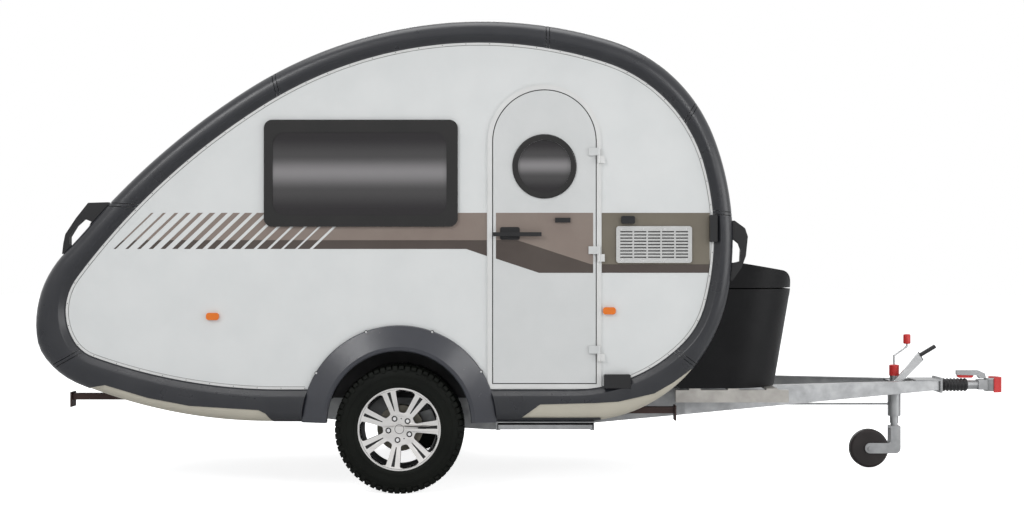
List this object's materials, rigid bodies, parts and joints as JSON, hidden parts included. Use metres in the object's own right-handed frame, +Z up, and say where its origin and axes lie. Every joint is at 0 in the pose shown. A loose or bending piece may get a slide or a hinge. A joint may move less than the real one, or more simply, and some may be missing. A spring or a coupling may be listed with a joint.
{
  "type": "travel trailer",
  "caption": "Teardrop travel trailer with arched side trims, entrance door, side windows, front storage box, A-frame drawbar and jockey wheel.",
  "frame": {"origin": "on the ground under the middle of the whole length and width", "axes": "+X forwards to the coupling, +Y to the left side, +Z up; the door is on -Y"},
  "size_m": [5.1302, 2.01, 2.43],
  "materials": {
    "wall_panel": "smooth cream white skin with taupe and dark stripes",
    "underfloor": "dark coated board",
    "arch_trim": "satin grey moulding",
    "black_frame": "gloss black",
    "dark_glass": "dark tinted acrylic",
    "white_trim": "white moulded plastic",
    "black_plastic": "grained black plastic",
    "lamp_lens": "clear coloured lens",
    "black_box": "satin black moulding",
    "galvanised": "galvanised steel",
    "cradle_metal": "brushed channel",
    "red_plastic": "red moulded plastic",
    "steady_paint": "dark red-brown coated steel",
    "tyre": "rubber",
    "wheel_metal": "machined faces with black pockets",
    "brake_iron": "cast iron",
    "grey_rubber": "solid rubber"
  },
  "bodies": {
    "root": {"arch_trim_left": "arch_trim", "arch_trim_right": "arch_trim", "axle_beam": "galvanised", "box_cradle": "cradle_metal", "brake_rod": "galvanised", "chassis_rails": "galvanised", "coupling_bellows": "black_plastic", "coupling_handle": "galvanised", "coupling_head": "galvanised", "coupling_nose": "red_plastic", "coupling_tube": "galvanised", "door_frame": "white_trim", "drawbar_beams": "galvanised", "floor_panel": "underfloor", "fridge_vent": "white_trim", "front_box_tub": "black_box", "front_panel": "wall_panel", "grab_handles": "black_plastic", "handbrake_lever": "galvanised", "jockey_clamp": "galvanised", "jockey_crank": "red_plastic", "jockey_tube": "galvanised", "lid_hinges": "galvanised", "outside_lamps": "lamp_lens", "overrun_housing": "galvanised", "rear_bumper": "black_plastic", "rear_panel": "wall_panel", "roof_panel": "wall_panel", "rooflight": "white_trim", "sidewall_left": "wall_panel", "sidewall_right": "wall_panel", "steady_mounts": "galvanised", "step_housing": "cradle_metal", "trailing_arms": "galvanised", "wall_fittings": "black_plastic", "wheel_flares": "arch_trim", "wheel_wells": "underfloor", "window_frames": "black_frame", "window_panes": "dark_glass"},
    "door": {"door_panel": "wall_panel", "porthole_ring": "black_frame", "porthole_glass": "dark_glass", "door_handle": "black_plastic"},
    "box_lid": {"front_box_lid": "black_box"},
    "wheel_right": {"tyre_right": "tyre", "rim_right": "wheel_metal", "brake_drum_right": "brake_iron"},
    "wheel_left": {"tyre_left": "tyre", "rim_left": "wheel_metal", "brake_drum_left": "brake_iron"},
    "jockey_swivel": {"jockey_fork": "galvanised"},
    "jockey_roller": {"jockey_wheel": "grey_rubber"},
    "steady_front_right": {"steady_front_right": "steady_paint"},
    "steady_front_left": {"steady_front_left": "steady_paint"},
    "steady_rear_right": {"steady_rear_right": "steady_paint"},
    "steady_rear_left": {"steady_rear_left": "steady_paint"},
    "step": {"step_tread": "cradle_metal"}
  },
  "joints": [
    {"name": "door_hinge", "type": "hinge", "parent": "root", "child": "door", "pos_m": [0.2445, -0.975, 1.2], "axis": [0, 0, 1], "range_deg": [0, 165]},
    {"name": "lid_hinge", "type": "hinge", "parent": "root", "child": "box_lid", "pos_m": [0.905, 0, 1.168], "axis": [0, -1, 0], "range_deg": [0, 70]},
    {"name": "wheel_spin_right", "type": "hinge", "parent": "root", "child": "wheel_right", "pos_m": [-0.748, -0.8825, 0.322], "axis": [0, 1, 0], "continuous": true},
    {"name": "wheel_spin_left", "type": "hinge", "parent": "root", "child": "wheel_left", "pos_m": [-0.748, 0.8825, 0.322], "axis": [0, 1, 0], "continuous": true},
    {"name": "jockey_turn", "type": "hinge", "parent": "root", "child": "jockey_swivel", "pos_m": [1.963, 0, 0.4], "axis": [0, 0, 1], "continuous": true},
    {"name": "jockey_spin", "type": "hinge", "parent": "jockey_swivel", "child": "jockey_roller", "pos_m": [1.819, 0, 0.108], "axis": [0, 1, 0], "continuous": true},
    {"name": "steady_turn_front_right", "type": "hinge", "parent": "root", "child": "steady_front_right", "pos_m": [0.223, -0.75, 0.398], "axis": [0, 1, 0], "range_deg": [0, 57]},
    {"name": "steady_turn_front_left", "type": "hinge", "parent": "root", "child": "steady_front_left", "pos_m": [0.223, 0.75, 0.398], "axis": [0, 1, 0], "range_deg": [0, 57]},
    {"name": "steady_turn_rear_right", "type": "hinge", "parent": "root", "child": "steady_rear_right", "pos_m": [-1.93, -0.75, 0.468], "axis": [0, -1, 0], "range_deg": [0, 60]},
    {"name": "steady_turn_rear_left", "type": "hinge", "parent": "root", "child": "steady_rear_left", "pos_m": [-1.93, 0.75, 0.468], "axis": [0, -1, 0], "range_deg": [0, 60]},
    {"name": "step_slide", "type": "slide", "parent": "root", "child": "step", "axis": [0, -1, 0], "range_m": [0, 0.25]}
  ]
}
